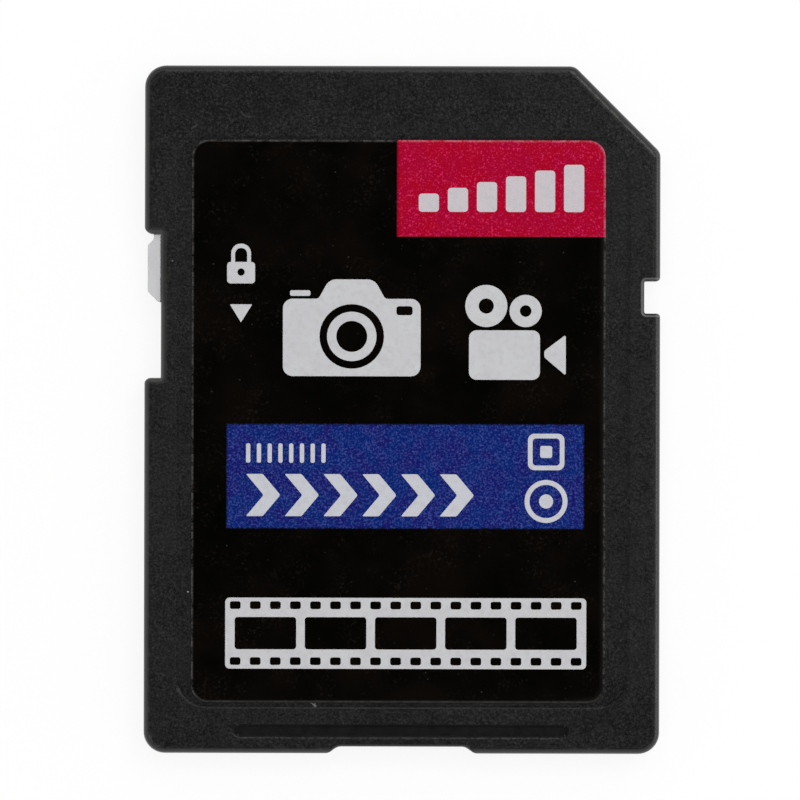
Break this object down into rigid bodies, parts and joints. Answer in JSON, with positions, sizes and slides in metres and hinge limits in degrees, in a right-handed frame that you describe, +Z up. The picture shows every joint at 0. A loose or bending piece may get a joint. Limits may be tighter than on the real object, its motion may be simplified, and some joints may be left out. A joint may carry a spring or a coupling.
{
  "type": "memory card",
  "caption": "Flat black flash memory card with a cut corner, side notches, a label recess, rear contact windows and a sliding write-lock tab.",
  "frame": {"origin": "middle of the back face, on the plane that the card lies on", "axes": "+Z up out of the label face, +Y towards the leading edge with the contacts, +X towards the side with the cut corner"},
  "size_m": [0.024, 0.032, 0.0021],
  "materials": {
    "housing_black": "fine spark-eroded moulded black plastic",
    "slider_grey": "smooth light grey moulded plastic",
    "label_black": "glossy black printed film with a pale cut edge",
    "ink_red": "speckled crimson print",
    "ink_blue": "speckled dark blue print",
    "ink_white": "slightly mottled white print",
    "board_green": "dark green solder resist",
    "contact_gold": "gold plated",
    "chip_black": "matt moulding compound",
    "capacitor_tan": "tan ceramic with tinned end caps",
    "resistor_dark": "black glazed ceramic with tinned end caps"
  },
  "bodies": {
    "card": {"front_cover": "housing_black", "rear_cover": "housing_black", "label_film": "label_black", "red_print_panel": "ink_red", "blue_print_band": "ink_blue", "circuit_board": "board_green", "memory_chip": "chip_black", "controller_chip": "chip_black", "contact_pad_1": "contact_gold", "contact_pad_2": "contact_gold", "contact_pad_3": "contact_gold", "contact_pad_4": "contact_gold", "contact_pad_5": "contact_gold", "contact_pad_6": "contact_gold", "contact_pad_7": "contact_gold", "contact_pad_8": "contact_gold", "contact_pad_9": "contact_gold", "capacitor_1": "capacitor_tan", "capacitor_2": "capacitor_tan", "capacitor_3": "capacitor_tan", "capacitor_4": "capacitor_tan", "capacitor_5": "capacitor_tan", "capacitor_6": "capacitor_tan", "resistor_1": "resistor_dark", "resistor_2": "resistor_dark", "resistor_3": "resistor_dark", "resistor_4": "resistor_dark", "resistor_5": "resistor_dark"},
    "slider": {"lock_slider": "slider_grey"}
  },
  "joints": [
    {"name": "lock_slide", "type": "slide", "parent": "card", "child": "slider", "axis": [0, -1, 0], "range_m": [0, 0.0035]}
  ]
}
